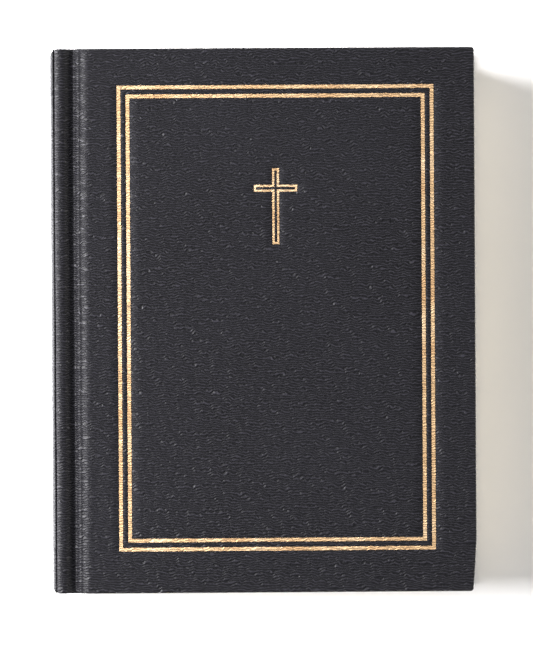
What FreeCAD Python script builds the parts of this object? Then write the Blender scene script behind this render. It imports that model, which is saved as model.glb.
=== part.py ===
"""A case-bound bible, closed, lying on its back cover.

The case is two boards and a card spine strip, covered with one skin of bonded leather that turns in
over the boards' edges and dips into a groove along each joint.  The front is blocked with two gold
rules and an outlined cross.  Inside are seventeen sewn sections, loose leaves at both ends, the
endpapers, gauze, spine lining and two bands.

Frame, in millimetres: +X from the spine to the fore-edge, +Y from tail to head, +Z from the back
cover to the front cover.  The origin is the middle of the bottom of the whole book.
"""

import FreeCAD, Part
import math
import os

Vector = FreeCAD.Vector
Rotation = FreeCAD.Rotation

# ---------------------------------------------------------------- driving dimensions

DIMENSIONS = [
    ("cover_height", 180.0, "covers, head to tail"),
    ("cover_width", 140.0, "whole book, outermost spine to fore-edge"),
    ("book_thick", 32.0, "outer face to outer face"),
    ("leather", 0.5, "covering leather"),
    ("board", 2.4, "grey board of a cover"),
    ("turn_in", 15.0, "leather turned in over a cover's inner face"),
    ("rim_round", 0.7, "rounding of the covers' rims"),
    ("corner_round", 1.2, "rounding of the covers' fore-edge corners"),
    ("gauze", 0.2, "mull, the gauze that ties block to case"),
    ("gauze_flap", 25.0, "gauze on a board's inner face, from its spine edge"),
    ("endpaper", 0.2, "paper of pastedowns and flyleaves"),
    ("cover_play", 0.1, "gap between a pastedown and its flyleaf"),
    ("leaf", 0.05, "one thin leaf"),
    ("leaves_front", 6, "leaves that turn at the front"),
    ("leaves_back", 3, "leaves that turn at the back"),
    ("sections", 17, "sewn sections of 32 leaves"),
    ("square", 3.5, "covers stand out past the pages"),
    ("spine_bulge", 2.0, "spine's roundness, ridge to outermost"),
    ("ridge_drop", 0.3, "ridges lie this far inside the covers' faces"),
    ("ridge_nose", 0.95, "outer radius of the leather over a ridge"),
    ("spine_card", 0.8, "spine strip"),
    ("card_end", 1.3, "spine strip's long edges lie this far below the ridges"),
    ("hollow", 0.6, "hollow between spine strip and spine lining"),
    ("lining", 0.2, "paper spine lining"),
    ("thread", 0.24, "sewing thread, across"),
    ("stitches", 8, "sewing stations, head to tail"),
    ("stitch_margin", 14.0, "end stations' distance from the pages' ends"),
    ("band_bead", 1.8, "head and tail bands' bead, across"),
    ("band_tail", 10.0, "bands' cloth glued down the spine"),
    ("hinge_inset", 6.0, "leaves' hinge line, from the outermost spine"),
    ("board_inset", 11.6, "board's spine edge, from the outermost spine"),
    ("skin_inset", 12.7, "where a cover's leather meets its joint leather"),
    ("ridge_flat", 0.9, "level leather from a ridge's crest to its slope"),
    ("groove_near", 7.2, "groove floor begins, from the outermost spine"),
    ("groove_far", 8.3, "groove floor ends, from the outermost spine"),
    ("groove_lift", 0.05, "joint leather clears the gauze in the groove"),
    ("board_climb", 2.2, "leather's run as it climbs from groove to board"),
    ("crest_round", 1.2, "rounding where a ridge breaks into its slope"),
    ("groove_round", 0.8, "rounding at both sides of the groove's floor"),
    ("shoulder_round", 1.0, "rounding over the board's spine edge"),
    ("foil", 0.06, "gold foil"),
    ("foil_sink", 0.1, "foil's bed in the leather"),
    ("rule_width", 1.45, "gold rules"),
    ("rule_pitch", 2.95, "outer rule to inner rule, centre to centre"),
    ("spine_margin", 22.5, "outermost spine to the outer rule's centre line"),
    ("fore_margin", 14.1, "fore-edge to the outer rule's centre line"),
    ("head_margin", 12.9, "head to the outer rule's centre line"),
    ("tail_margin", 14.5, "tail to the outer rule's centre line"),
    ("cross_height", 25.3, "cross, up"),
    ("cross_width", 14.5, "cross, across"),
    ("cross_bar", 2.5, "width of both bars"),
    ("cross_line", 0.95, "gold line of the cross"),
    ("cross_arm", 6.7, "cross top to the middle of its arms"),
    ("cross_drop", 26.8, "outer rule to the cross's top"),
]

doc = FreeCAD.newDocument("bible")
dims = doc.addObject("Spreadsheet::Sheet", "dims")
for row, (alias, number, meaning) in enumerate(DIMENSIONS, start=1):
    dims.set(f"A{row}", meaning)
    dims.set(f"B{row}", str(number))
    dims.setAlias(f"B{row}", alias)
doc.recompute()


def value(expression):
    """A number from an expression on the sheet's cells."""
    return float(dims.evalExpression(expression))


# ---------------------------------------------------------------- places, as expressions on the cells

SPINE_X = "(-dims.cover_width / 2)"
FORE_X = "(dims.cover_width / 2)"
HALF_HEIGHT = "(dims.cover_height / 2)"
MID_Z = "(dims.book_thick / 2)"
HINGE_X = f"({SPINE_X} + dims.hinge_inset)"
BOARD_X = f"({SPINE_X} + dims.board_inset)"
SKIN_X = f"({SPINE_X} + dims.skin_inset)"
PAGE_X = f"({FORE_X} - dims.square)"
PAGE_Y = f"({HALF_HEIGHT} - dims.square)"
WINDOW_X = f"({FORE_X} - dims.turn_in)"
WINDOW_Y = f"({HALF_HEIGHT} - dims.turn_in)"
FLAP_X = f"({BOARD_X} + dims.gauze_flap)"

# depths from a cover's outer face
BOARD_IN = "dims.leather"
BOARD_OUT = "(dims.leather + dims.board)"
GAUZE_OUT = f"({BOARD_OUT} + dims.gauze)"
JOINT_OUT = f"({GAUZE_OUT} + dims.endpaper)"
SKIN_OUT = "(2 * dims.leather + dims.board)"
PASTE_OUT = f"({SKIN_OUT} + dims.endpaper)"
FLY_IN = f"({PASTE_OUT} + dims.cover_play)"
FLY_OUT = f"({FLY_IN} + dims.endpaper)"

# the spine's layers are arcs about one centre line
RIDGE_Z = "(dims.book_thick - dims.ridge_drop)"
NOSE_Z = f"({RIDGE_Z} - dims.ridge_nose)"
ARC_HALF = f"({NOSE_Z} - {MID_Z})"
SPINE_R = f"(({ARC_HALF}^2 + dims.spine_bulge^2) / (2 * dims.spine_bulge))"
ARC_X = f"({SPINE_X} + {SPINE_R})"
CARD_R = f"({SPINE_R} - dims.leather)"
HOLLOW_R = f"({CARD_R} - dims.spine_card)"
TURNED_R = f"({HOLLOW_R} - dims.leather)"
LINING_R = f"({HOLLOW_R} - dims.hollow)"
MULL_R = f"({LINING_R} - dims.lining)"
STITCH_R = f"({MULL_R} - dims.gauze)"
FOLD_R = f"({STITCH_R} - dims.thread)"
CARD_HALF = f"({RIDGE_Z} - dims.card_end - {MID_Z})"
CREST_X = f"({ARC_X} - sqrt(({SPINE_R} - dims.ridge_nose)^2 - {ARC_HALF}^2))"

# the sewn block, between the leaves that turn
BLOCK_LOW = f"({FLY_OUT} + dims.leaves_back * dims.leaf)"
BLOCK_HIGH = f"(dims.book_thick - {FLY_OUT} - dims.leaves_front * dims.leaf)"
SECTION = f"(({BLOCK_HIGH} - {BLOCK_LOW}) / dims.sections)"
BLOCK_HALF = f"max({BLOCK_HIGH} - {MID_Z}; {MID_Z} - {BLOCK_LOW})"

SIDES = ("front", "back")
nodes = []


def layer(side, near, far):
    """(low, high) in Z of a layer that lies between two depths from that cover's outer face."""
    if side == "front":
        return f"(dims.book_thick - {far})", f"(dims.book_thick - {near})"
    return near, far


def keep(thing, label):
    """Marks an object of the document as a sub-part, under the name of its file."""
    thing.Label = label
    nodes.append(thing)
    return thing


# ---------------------------------------------------------------- helpers

def box(name, x, y, z):
    """A box whose (low, high) along each axis are expressions."""
    made = doc.addObject("Part::Box", name)
    for size, axis, (low, high) in (("Length", "x", x), ("Width", "y", y), ("Height", "z", z)):
        made.setExpression(size, f"({high}) - ({low})")
        made.setExpression(f"Placement.Base.{axis}", low)
    return made


def both(half):
    """A range that reaches equally far to both sides of the middle."""
    return f"(-{half})", half


def cut(name, base, tool):
    made = doc.addObject("Part::Cut", name)
    made.Base = base
    made.Tool = tool
    return made


def fuse(name, *shapes):
    made = doc.addObject("Part::MultiFuse", name)
    made.Shapes = list(shapes)
    return made


def common(name, *shapes):
    made = doc.addObject("Part::MultiCommon", name)
    made.Shapes = list(shapes)
    return made


def rod(name, radius, y):
    """A cylinder about the spine's centre line, between two places along Y."""
    made = doc.addObject("Part::Cylinder", name)
    made.Placement.Rotation = Rotation(Vector(1, 0, 0), -90)
    made.setExpression("Radius", radius)
    made.setExpression("Height", f"({y[1]}) - ({y[0]})")
    made.setExpression("Placement.Base.x", ARC_X)
    made.setExpression("Placement.Base.y", y[0])
    made.setExpression("Placement.Base.z", MID_Z)
    return made


def arc_sheet(name, inner, outer, y, z):
    """A sheet bent round the spine's centre line, between two radii, on the spine side."""
    tube = cut(name + "_tube", rod(name + "_outer", outer, y), rod(name + "_inner", inner, y))
    window = box(name + "_window", (f"{ARC_X} - 2 * {SPINE_R}", ARC_X), y, z)
    return common(name, tube, window)


def arc_cord(name, ring, thickness, place_y, half_z):
    """A round cord bent round the spine's centre line, half_z above and below its middle."""
    made = doc.addObject("Part::Torus", name)
    half_angle = f"asin({half_z} / {ring})"
    made.setExpression("Radius1", ring)
    made.setExpression("Radius2", f"{thickness} / 2")
    made.setExpression("Angle3", f"2 * {half_angle}")
    turn = math.degrees(math.asin(value(half_z) / value(ring)))
    upright = Rotation(Vector(1, 0, 0), 90)
    made.Placement.Rotation = upright.multiply(Rotation(Vector(0, 0, 1), 180 - turn))
    made.setExpression("Placement.Base.x", ARC_X)
    made.setExpression("Placement.Base.y", place_y)
    made.setExpression("Placement.Base.z", MID_Z)
    return made


def plane(body, role):
    return [p for p in body.Origin.OriginFeatures if p.Role == role][0]


def pad(name, role, curves, length, midplane):
    """A body padded from a closed outline drawn on one of its own origin planes."""
    body = doc.addObject("PartDesign::Body", name)
    sketch = body.newObject("Sketcher::SketchObject", name + "_outline")
    sketch.AttachmentSupport = [(plane(body, role), "")]
    sketch.MapMode = "FlatFace"
    sketch.addGeometry(curves, False)
    made = body.newObject("PartDesign::Pad", name + "_pad")
    made.Profile = sketch
    made.Midplane = midplane
    made.setExpression("Length", length)
    body.Tip = made
    return body


def arc(centre, radius, start, end):
    """An arc that runs anticlockwise from one point's direction to the other's."""
    angles = [math.atan2(p.y - centre.y, p.x - centre.x) for p in (start, end)]
    return Part.ArcOfCircle(Part.Circle(centre, Vector(0, 0, 1), radius), *angles)


def strand(points, radii, shift):
    """An open path of lines and tangent arcs, moved sideways by shift to the right of its travel."""
    ways = [(b - a).normalize() for a, b in zip(points, points[1:])]
    sides = [Vector(w.y, -w.x, 0) for w in ways]
    corners = [points[0] + sides[0] * shift]
    for before, after, point in zip(sides, sides[1:], points[1:-1]):
        corners.append(point + (before + after) * (shift / (1 + before.dot(after))))
    corners.append(points[-1] + sides[-1] * shift)
    curves, last = [], corners[0]
    for corner, way_in, way_out, radius in zip(corners[1:-1], ways, ways[1:], radii):
        right_turn = way_in.x * way_out.y - way_in.y * way_out.x < 0
        bend = radius - shift if right_turn else radius + shift
        reach = bend * math.tan(way_in.getAngle(way_out) / 2)
        first, second = corner - way_in * reach, corner + way_out * reach
        side = Vector(way_in.y, -way_in.x, 0) * (1 if right_turn else -1)
        ends = (second, first) if right_turn else (first, second)
        curves += [Part.LineSegment(last, first), arc(first + side * bend, bend, *ends)]
        last = second
    curves.append(Part.LineSegment(last, corners[-1]))
    return curves, corners[0], corners[-1]


# ---------------------------------------------------------------- covers: boards, gauze, pastedowns

def make_board(side):
    name = f"{side}_board"
    x = (BOARD_X, f"({FORE_X} - dims.leather)")
    y = (f"(dims.leather - {HALF_HEIGHT})", f"({HALF_HEIGHT} - dims.leather)")
    keep(box(name, x, y, layer(side, BOARD_IN, BOARD_OUT)), name)


def make_gauze_flap(side):
    name = f"{side}_mull_flap"
    keep(box(name, (BOARD_X, FLAP_X), both(WINDOW_Y), layer(side, BOARD_OUT, GAUZE_OUT)), name)


def make_pastedown(side):
    """Paper over the turned-in leather, that drops onto the gauze and the bare board between."""
    paper = "dims.endpaper"
    inner_x, inner_y = f"({WINDOW_X} - {paper})", f"({WINDOW_Y} - {paper})"
    block = box(f"{side}_paste_block", (BOARD_X, PAGE_X), both(PAGE_Y), layer(side, BOARD_OUT, PASTE_OUT))
    turned = cut(
        f"{side}_turned_ring",
        box(f"{side}_turned_all", (SKIN_X, FORE_X), both(HALF_HEIGHT), layer(side, BOARD_OUT, SKIN_OUT)),
        box(f"{side}_turned_none", (BOARD_X, WINDOW_X), both(WINDOW_Y), layer(side, BOARD_OUT, SKIN_OUT)),
    )
    over_gauze = layer(side, JOINT_OUT, PASTE_OUT)
    over_board = layer(side, f"({BOARD_OUT} + {paper})", PASTE_OUT)
    tools = [
        turned,
        box(f"{side}_gauze_slab", (BOARD_X, FLAP_X), both(PAGE_Y), layer(side, BOARD_OUT, GAUZE_OUT)),
        box(f"{side}_edge_dip", (BOARD_X, f"({SKIN_X} - {paper})"), both(PAGE_Y), over_gauze),
        box(f"{side}_gauze_dip", (BOARD_X, inner_x), both(inner_y), over_gauze),
        box(f"{side}_board_dip", (f"({FLAP_X} + {paper})", inner_x), both(inner_y), over_board),
    ]
    name = f"{side}_pastedown"
    keep(cut(name, block, fuse(f"{side}_paste_tools", *tools)), name)


# ---------------------------------------------------------------- gold: rules and cross

FRAME_LEFT = f"({SPINE_X} + dims.spine_margin)"
FRAME_RIGHT = f"({FORE_X} - dims.fore_margin)"
FRAME_HEAD = f"({HALF_HEIGHT} - dims.head_margin)"
FRAME_TAIL = f"(dims.tail_margin - {HALF_HEIGHT})"
CROSS_X = f"(({FRAME_LEFT} + {FRAME_RIGHT}) / 2)"
CROSS_Y = f"({FRAME_HEAD} - dims.cross_drop - dims.cross_arm)"


def rule(name, inward, depths):
    """A rectangular ring of rule_width whose centre line lies inward of the outer rule's."""
    rings = []
    for part, side_way in (("outside", "-"), ("inside", "+")):
        inset = f"({inward} {side_way} dims.rule_width / 2)"
        x = (f"({FRAME_LEFT} + {inset})", f"({FRAME_RIGHT} - {inset})")
        y = (f"({FRAME_TAIL} + {inset})", f"({FRAME_HEAD} - {inset})")
        rings.append(box(f"{name}_{part}", x, y, layer("front", *depths)))
    return cut(name, *rings)


def bars(name, inset, depths):
    """The Latin cross's upright and arms, with their edges moved in by inset."""
    z = layer("front", *depths)
    half = f"(dims.cross_bar / 2 - {inset})"
    reach = f"(dims.cross_width / 2 - {inset})"
    top = f"({CROSS_Y} + dims.cross_arm - {inset})"
    foot = f"({CROSS_Y} + dims.cross_arm - dims.cross_height + {inset})"
    upright = box(name + "_upright", (f"({CROSS_X} - {half})", f"({CROSS_X} + {half})"), (foot, top), z)
    across = (f"({CROSS_X} - {reach})", f"({CROSS_X} + {reach})")
    arms = box(name + "_arms", across, (f"({CROSS_Y} - {half})", f"({CROSS_Y} + {half})"), z)
    return fuse(name, upright, arms)


def cross(name, depths):
    return cut(name, bars(name + "_outside", "0", depths), bars(name + "_inside", "dims.cross_line", depths))


GOLD = (
    ("gold_outer_rule", rule, ("0",)),
    ("gold_inner_rule", rule, ("dims.rule_pitch",)),
    ("gold_cross", cross, ()),
)


def make_gold():
    depths = ("(dims.foil_sink - dims.foil)", "dims.foil_sink")
    for name, shape, where in GOLD:
        keep(shape(name, *where, depths), name)


def gold_beds():
    """What the blocking press sinks out of the front cover's leather."""
    return [shape(name + "_bed", *where, ("0", "dims.foil_sink")) for name, shape, where in GOLD]


# ---------------------------------------------------------------- leather

def rim_edges(shape, fore, half):
    """Numbers of a cover block's edges: those along its three open rims, and its fore-edge corners."""
    rims, corners = [], []
    for number, edge in enumerate(shape.Edges, start=1):
        middle, size = edge.CenterOfMass, edge.BoundBox
        upright = size.ZLength > max(size.XLength, size.YLength)
        at_fore = abs(middle.x - fore) < 1e-6
        at_end = abs(abs(middle.y) - half) < 1e-6
        if upright and at_fore:
            corners.append(number)
        elif not upright and (at_fore or at_end):
            rims.append(number)
    return rims, corners


def make_cover_leather(side):
    block = box(
        f"{side}_skin_block", (SKIN_X, FORE_X), both(HALF_HEIGHT), layer(side, "0", SKIN_OUT)
    )
    doc.recompute()
    rims, corners = rim_edges(block.Shape, value(FORE_X), value(HALF_HEIGHT))
    rim, corner = value("dims.rim_round"), value("dims.corner_round")
    rounded = doc.addObject("Part::Fillet", f"{side}_skin_rounded")
    rounded.Base = block
    rounded.Edges = [(n, rim, rim) for n in rims] + [(n, corner, corner) for n in corners]
    board_x = (BOARD_X, f"({FORE_X} - dims.leather)")
    board_y = both(f"({HALF_HEIGHT} - dims.leather)")
    seat = box(f"{side}_board_seat", board_x, board_y, layer(side, BOARD_IN, BOARD_OUT))
    window = box(f"{side}_window", (BOARD_X, WINDOW_X), both(WINDOW_Y), layer(side, BOARD_OUT, SKIN_OUT))
    openings = [seat, window] + (gold_beds() if side == "front" else [])
    name = f"{side}_cover_leather"
    keep(cut(name, rounded, fuse(f"{side}_skin_openings", *openings)), name)


def make_joint_leather(side):
    """From the ridge's crest down into the groove and up over the board's edge."""
    thick, start = value("dims.book_thick"), value(SPINE_X)
    crest = value(CREST_X)
    ridge = value(RIDGE_Z)
    floor = value(f"dims.book_thick - {BOARD_OUT} + dims.groove_lift + dims.leather")
    far = start + value("dims.groove_far")
    outline = [
        (crest, ridge),
        (crest + value("dims.ridge_flat"), ridge),
        (start + value("dims.groove_near"), floor),
        (far, floor),
        (far + value("dims.board_climb"), thick),
        (value(SKIN_X), thick),
    ]
    groove = value("dims.groove_round")
    radii = [value("dims.crest_round"), groove, groove, value("dims.shoulder_round")]
    points = [Vector(x, z, 0) for x, z in outline]
    outer, outer_first, outer_last = strand(points, radii, 0)
    inner, inner_first, inner_last = strand(points, radii, value("dims.leather"))
    caps = [Part.LineSegment(outer_first, inner_first), Part.LineSegment(outer_last, inner_last)]
    curves = outer + inner + caps
    if side == "back":
        for curve in curves:
            curve.mirror(Vector(0, thick / 2, 0), Vector(1, 0, 0))
    name = f"{side}_joint_leather"
    keep(pad(name, "XZ_Plane", curves, "dims.cover_height", True), name)


def spine_shell():
    """The rounded spine, rolled over the spine strip's long edges as far as the ridges' crests."""
    big, nose, thin = value(SPINE_R), value("dims.ridge_nose"), value("dims.leather")
    centre = Vector(value(ARC_X), value(MID_Z), 0)
    half = value(ARC_HALF)
    top, bottom = (Vector(value(CREST_X), centre.y + h, 0) for h in (half, -half))
    out_top, out_bottom = ((p - centre).normalize() for p in (top, bottom))
    up = Vector(0, 1, 0)
    curves = []
    for radius, nose_radius in ((big, nose), (big - thin, nose - thin)):
        high, low = centre + out_top * radius, centre + out_bottom * radius
        curves.append(arc(centre, radius, high, low))
        curves.append(arc(top, nose_radius, top + up, high))
        curves.append(arc(bottom, nose_radius, low, bottom - up))
    for nose_centre, way in ((top, up), (bottom, -up)):
        curves.append(Part.LineSegment(nose_centre + way * (nose - thin), nose_centre + way * nose))
    return pad("spine_shell", "XZ_Plane", curves, "dims.cover_height", True)


CARD_Z = (f"({MID_Z} - {CARD_HALF})", f"({MID_Z} + {CARD_HALF})")
CARD_Y = both(f"({HALF_HEIGHT} - dims.leather)")


def make_spine_leather():
    """The shell, with its head and tail turned in over the spine strip's ends."""
    wrap = arc_sheet("spine_wrap", TURNED_R, CARD_R, both(HALF_HEIGHT), CARD_Z)
    strip_seat = arc_sheet("spine_strip_seat", HOLLOW_R, CARD_R, CARD_Y, CARD_Z)
    between = arc_sheet("spine_between", TURNED_R, HOLLOW_R, both(WINDOW_Y), CARD_Z)
    turned = cut("spine_turned_in", wrap, fuse("spine_wrap_tools", strip_seat, between))
    keep(fuse("spine_leather", spine_shell(), turned), "spine_leather")


# ---------------------------------------------------------------- the spine's inner layers

def make_spine_layers():
    keep(arc_sheet("spine_strip", HOLLOW_R, CARD_R, CARD_Y, CARD_Z), "spine_strip")
    block_z = (BLOCK_LOW, BLOCK_HIGH)
    keep(arc_sheet("spine_lining", MULL_R, LINING_R, both(PAGE_Y), block_z), "spine_lining")


def make_spine_mull():
    """Gauze over the folds, that bends at both shoulders and runs level as far as the leaves' hinge line."""
    low, high = (layer(side, BOARD_OUT, GAUZE_OUT) for side in ("back", "front"))
    reach = f"({MID_Z} - {BOARD_OUT})"
    corner = f"({ARC_X} - sqrt({MULL_R}^2 - {reach}^2))"
    wrap = arc_sheet("mull_wrap", STITCH_R, MULL_R, both(WINDOW_Y), (low[0], high[1]))
    front_shelf = box("front_shelf", (corner, HINGE_X), both(WINDOW_Y), high)
    back_shelf = box("back_shelf", (corner, HINGE_X), both(WINDOW_Y), low)
    keep(fuse("spine_mull", wrap, front_shelf, back_shelf), "spine_mull")


def make_joint_papers(side):
    """Gauze and endpaper where they cross a joint, and the endpaper's fold down onto the sections."""
    name = f"{side}_mull_joint"
    keep(box(name, (HINGE_X, BOARD_X), both(WINDOW_Y), layer(side, BOARD_OUT, GAUZE_OUT)), name)
    name = f"{side}_endpaper_joint"
    level = box(name + "_level", (HINGE_X, BOARD_X), both(PAGE_Y), layer(side, GAUZE_OUT, JOINT_OUT))
    fold_x = (f"({HINGE_X} - dims.endpaper)", HINGE_X)
    depth = f"({FLY_OUT} + dims.leaves_{side} * dims.leaf)"
    fold = box(name + "_fold", fold_x, both(PAGE_Y), layer(side, GAUZE_OUT, depth))
    keep(fuse(name, level, fold), name)


def make_thread():
    """One chain of stitches at each sewing station, lying over the sections' folds."""
    nose = f"({SECTION} / 2)"
    ring = f"({FOLD_R} + dims.thread / 2)"
    half_z = f"(({BLOCK_HALF} - {nose}) * {ring} / ({FOLD_R} - {nose}))"
    span = f"({PAGE_Y} - dims.stitch_margin)"
    chains = []
    for station in range(int(value("dims.stitches"))):
        place = f"({station} * 2 * {span} / (dims.stitches - 1) - {span})"
        chains.append(arc_cord(f"stitch_{station + 1}", ring, "dims.thread", place, half_z))
    group = doc.addObject("Part::Compound", "sewing_thread")
    group.Links = chains
    keep(group, "sewing_thread")


def make_band(name, way):
    """A bead on the ends of the pages, on a strip of cloth glued to the folds."""
    half_z = f"({BLOCK_HIGH} - {MID_Z} - dims.band_bead / 2)"
    ring = f"({STITCH_R} - dims.band_bead / 2)"
    bead_y = f"({way} * ({PAGE_Y} + dims.band_bead / 2))"
    bead = arc_cord(f"{name}_bead", ring, "dims.band_bead", bead_y, half_z)
    y = (f"({PAGE_Y} - dims.band_tail)", f"({PAGE_Y} + dims.band_bead / 2)")
    if way < 0:
        y = (f"(-{y[1]})", f"(-{y[0]})")
    z = (f"({MID_Z} - {half_z})", f"({MID_Z} + {half_z})")
    keep(fuse(name, bead, arc_sheet(f"{name}_cloth", FOLD_R, STITCH_R, y, z)), name)


# ---------------------------------------------------------------- pages

def make_sections():
    """Each has a round fold at the spine, and a fore-edge hollowed along the curve of the spine."""
    fore_x = f"({PAGE_X} + sqrt({FOLD_R}^2 - {BLOCK_HALF}^2))"
    fore_edge = rod("fore_edge", FOLD_R, both(HALF_HEIGHT))
    fore_edge.setExpression("Placement.Base.x", fore_x)
    for number in range(1, int(value("dims.sections")) + 1):
        name = f"section_{number:02d}"
        middle = f"({BLOCK_HIGH} - {number - 0.5} * {SECTION})"
        nose = f"({SECTION} / 2)"
        nose_x = f"({ARC_X} - sqrt(({FOLD_R} - {nose})^2 - ({middle} - {MID_Z})^2))"
        z = (f"({middle} - {nose})", f"({middle} + {nose})")
        leaves = box(name + "_leaves", (nose_x, fore_x), both(PAGE_Y), z)
        fold = rod(name + "_fold", nose, both(PAGE_Y))
        fold.setExpression("Placement.Base.x", nose_x)
        fold.setExpression("Placement.Base.z", middle)
        keep(cut(name, fuse(name + "_whole", leaves, fold), fore_edge), name)


def make_leaf(name, side, near, far):
    keep(box(name, (HINGE_X, PAGE_X), both(PAGE_Y), layer(side, near, far)), name)


def make_leaves(side):
    make_leaf(f"{side}_flyleaf", side, FLY_IN, FLY_OUT)
    for number in range(1, int(value(f"dims.leaves_{side}")) + 1):
        near = f"({FLY_OUT} + {number - 1} * dims.leaf)"
        far = f"({FLY_OUT} + {number} * dims.leaf)"
        make_leaf(f"{side}_leaf_{number}", side, near, far)


# ---------------------------------------------------------------- the whole book

def build():
    for side in SIDES:
        make_board(side)
        make_gauze_flap(side)
        make_pastedown(side)
        make_cover_leather(side)
        make_joint_leather(side)
        make_joint_papers(side)
        make_leaves(side)
    make_gold()
    make_spine_leather()
    make_spine_layers()
    make_spine_mull()
    make_thread()
    make_band("head_band", 1)
    make_band("tail_band", -1)
    make_sections()
    doc.recompute()


def check():
    for thing in doc.Objects:
        if "Invalid" in thing.State or "Error" in thing.State:
            raise RuntimeError(f"{thing.Name} did not build: {thing.State}")
    for node in nodes:
        if node.Shape.isNull() or not node.Shape.isValid() or not node.Shape.Solids:
            raise RuntimeError(f"{node.Label} has no valid solid")


def write():
    os.makedirs("parts", exist_ok=True)
    for node in nodes:
        node.Shape.exportStep(os.path.join("parts", node.Label + ".step"))
        size = node.Shape.BoundBox
        print(f"{node.Label}: {size.XLength:.2f} x {size.YLength:.2f} x {size.ZLength:.2f} mm,"
              f" {node.Shape.Volume:.1f} mm3, {len(node.Shape.Solids)} solid(s)")


build()
check()
write()
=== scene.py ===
# %% [markdown]
# # A bible bound in black bonded leather
#
# A hymn-book-sized bible lies closed on its back cover, spine to the left, with a double gold frame and an
# outlined cross blocked on its front.  The imported CAD model already holds every part at its real size.
# It could be shaded as it is, but sheet goods look stiff that way, so this script keeps the CAD's places
# and rebuilds leather, foil and papers as fine meshes.

# %% Load the frame
import math

import bpy
import numpy as np
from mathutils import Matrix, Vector, noise


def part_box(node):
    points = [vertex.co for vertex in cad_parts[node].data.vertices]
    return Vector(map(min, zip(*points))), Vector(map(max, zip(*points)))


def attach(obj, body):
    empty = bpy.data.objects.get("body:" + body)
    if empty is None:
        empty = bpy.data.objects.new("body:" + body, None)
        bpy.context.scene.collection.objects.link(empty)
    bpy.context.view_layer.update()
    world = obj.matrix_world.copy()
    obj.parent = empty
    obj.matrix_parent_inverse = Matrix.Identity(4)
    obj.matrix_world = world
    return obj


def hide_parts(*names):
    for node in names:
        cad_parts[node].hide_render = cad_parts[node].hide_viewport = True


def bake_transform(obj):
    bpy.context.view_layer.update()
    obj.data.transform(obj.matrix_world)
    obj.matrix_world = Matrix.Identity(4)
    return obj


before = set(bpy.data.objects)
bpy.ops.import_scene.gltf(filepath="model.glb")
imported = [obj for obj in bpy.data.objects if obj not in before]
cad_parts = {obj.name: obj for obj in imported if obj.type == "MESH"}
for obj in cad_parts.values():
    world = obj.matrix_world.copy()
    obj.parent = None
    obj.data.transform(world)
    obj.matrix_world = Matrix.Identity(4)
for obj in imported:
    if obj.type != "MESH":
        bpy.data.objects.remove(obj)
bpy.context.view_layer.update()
MM = 0.001

# %% [markdown]
# ## Colours and shader nodes
#
# Blender mixes light in linear values, while a colour picked by eye is an sRGB hex code, so one function
# turns codes to linear.  Another adds a shader node with its settings.  Its inputs may be plain values,
# sockets, or other nodes, which stand for their first output, so a finish reads like a recipe.

# %% Helpers for finishes


def linear(code):
    """A linear RGBA colour from an sRGB hex code."""
    shares = [int(code[at:at + 2], 16) / 255 for at in (0, 2, 4)]
    return [s / 12.92 if s <= 0.04045 else ((s + 0.055) / 1.055) ** 2.4 for s in shares] + [1.0]


def join(tree, source, socket):
    """Links a socket, or a node's first output, to an input, or gives the input a plain value."""
    if isinstance(source, bpy.types.Node):
        source = next(output for output in source.outputs if output.enabled)
    if isinstance(source, bpy.types.NodeSocket):
        tree.links.new(source, socket)
    else:
        socket.default_value = source


def node(tree, kind, inputs=None, stops=(), **settings):
    """Adds a node with its settings, its ramp's (position, hex) stops, and what goes to its inputs."""
    made = tree.nodes.new("ShaderNode" + kind)
    for name, setting in settings.items():
        setattr(made, name, setting)
    for count, (position, code) in enumerate(stops):
        elements = made.color_ramp.elements
        element = elements[count] if count < 2 else elements.new(position)
        element.position, element.color = position, linear(code)
    for name, source in (inputs or {}).items():
        join(tree, source, made.inputs[name])
    return made


def start_finish(name):
    """A new material: its node tree, and the place of each point in metres."""
    material = bpy.data.materials.new(name)
    material.use_nodes = True
    return material, material.node_tree, node(material.node_tree, "TexCoord").outputs["Object"]


def end_finish(material, colour, roughness, height, depth, ior=1.45, metallic=0.0):
    """Joins a colour, a roughness and a bump of that depth in metres to the material's shader."""
    tree = material.node_tree
    shader = tree.nodes["Principled BSDF"]
    bump = node(tree, "Bump", {"Height": height, "Strength": 1.0, "Distance": depth})
    looks = {"Normal": bump, "Base Color": colour, "Roughness": roughness, "Metallic": metallic}
    for name, source in looks.items():
        join(tree, source, shader.inputs[name])
    if metallic == 0.0:
        shader.inputs["IOR"].default_value = ior
    print("finish:", material.name, len(tree.nodes), "nodes")
    return material


print("sRGB 808080 is linear", round(linear("808080")[0], 3))

# %% [markdown]
# ## Sheets as meshes
#
# A book is made of sheets.  A sheet could be a plane with modifiers, but its folds, steps and cut edges
# are easier to say in numbers: a grid over X and Y, two height functions, and a rule for which cells are
# there.  The mesh is closed, so it has a true thickness, and the Solidify modifier does the same for a
# skin whose face has been shaped first.

# %% Helpers for meshes


def add_piece(name, points, faces, finish, smooth=True):
    """A mesh object from points in metres."""
    mesh = bpy.data.meshes.new(name)
    mesh.from_pydata([tuple(p) for p in points], [], [tuple(f) for f in faces])
    mesh.materials.append(finish)
    mesh.polygons.foreach_set("use_smooth", [smooth] * len(mesh.polygons))
    mesh.update()
    piece = bpy.data.objects.new(name, mesh)
    bpy.context.scene.collection.objects.link(piece)
    return piece


def thicken(piece, thickness):
    """Gives an open sheet its thickness, inwards from the face that shows."""
    solid = piece.modifiers.new("thickness", "SOLIDIFY")
    solid.thickness, solid.offset, solid.use_rim = thickness, -1.0, True
    bpy.context.view_layer.update()
    graph = bpy.context.evaluated_depsgraph_get()
    mesh = bpy.data.meshes.new_from_object(piece.evaluated_get(graph), depsgraph=graph)
    piece.modifiers.clear()
    piece.data = mesh
    return piece


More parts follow.
